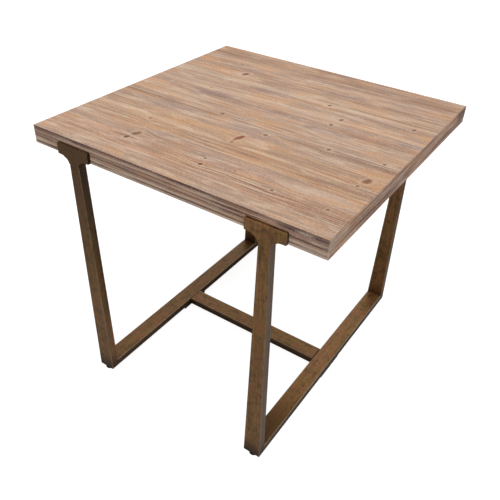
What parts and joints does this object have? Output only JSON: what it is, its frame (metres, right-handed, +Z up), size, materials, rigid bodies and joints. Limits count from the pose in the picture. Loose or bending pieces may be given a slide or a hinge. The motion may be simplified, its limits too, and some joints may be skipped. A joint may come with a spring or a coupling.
{
  "type": "bistro table",
  "caption": "Square cafe table: planked wooden top with deep mitred edges on two U-shaped tapered steel frames joined by a low stretcher, on levelling feet.",
  "frame": {"origin": "on the floor, under the middle of the top", "axes": "+Z up; X along the planks, from the left frame to the right frame; -Y towards the front, where two T plates show"},
  "size_m": [0.812, 0.817, 0.762],
  "materials": {
    "top_planks": "brushed, limed",
    "edge_boards": "brushed, limed",
    "batten_wood": "sawn",
    "bronze_metal": "antique bronze lacquer, rubbed edges",
    "black_metal": "satin black",
    "fastener_steel": "zinc plated",
    "glide_plastic": "moulded",
    "stem_steel": "zinc plated"
  },
  "bodies": {
    "table": {"top_stave_01": "top_planks", "top_stave_02": "top_planks", "top_stave_03": "top_planks", "top_stave_04": "top_planks", "top_stave_05": "top_planks", "top_stave_06": "top_planks", "top_stave_07": "top_planks", "top_stave_08": "top_planks", "top_stave_09": "top_planks", "top_stave_10": "top_planks", "top_stave_11": "top_planks", "top_stave_12": "top_planks", "edge_board_front": "edge_boards", "edge_board_back": "edge_boards", "edge_board_left": "edge_boards", "edge_board_right": "edge_boards", "batten_left": "batten_wood", "batten_middle": "batten_wood", "batten_right": "batten_wood", "leg_front_left": "bronze_metal", "leg_front_right": "bronze_metal", "leg_back_left": "bronze_metal", "leg_back_right": "bronze_metal", "t_plate_front_left": "bronze_metal", "t_plate_front_right": "bronze_metal", "t_plate_back_left": "bronze_metal", "t_plate_back_right": "bronze_metal", "rail_left": "bronze_metal", "rail_right": "bronze_metal", "stretcher": "bronze_metal", "top_bar_left": "black_metal", "top_bar_right": "black_metal", "junction_plate_left": "black_metal", "junction_plate_right": "black_metal", "batten_screws": "fastener_steel", "bar_screws": "fastener_steel", "junction_screws": "fastener_steel", "junction_nuts": "fastener_steel", "foot_inserts": "fastener_steel"},
    "foot_front_left": {"foot_pad_front_left": "glide_plastic", "foot_stem_front_left": "stem_steel"},
    "foot_front_right": {"foot_pad_front_right": "glide_plastic", "foot_stem_front_right": "stem_steel"},
    "foot_back_left": {"foot_pad_back_left": "glide_plastic", "foot_stem_back_left": "stem_steel"},
    "foot_back_right": {"foot_pad_back_right": "glide_plastic", "foot_stem_back_right": "stem_steel"}
  },
  "joints": [
    {"name": "foot_front_left_level", "type": "slide", "parent": "table", "child": "foot_front_left", "axis": [0, 0, -1], "range_m": [0, 0.008]},
    {"name": "foot_front_right_level", "type": "slide", "parent": "table", "child": "foot_front_right", "axis": [0, 0, -1], "range_m": [0, 0.008]},
    {"name": "foot_back_left_level", "type": "slide", "parent": "table", "child": "foot_back_left", "axis": [0, 0, -1], "range_m": [0, 0.008]},
    {"name": "foot_back_right_level", "type": "slide", "parent": "table", "child": "foot_back_right", "axis": [0, 0, -1], "range_m": [0, 0.008]}
  ]
}
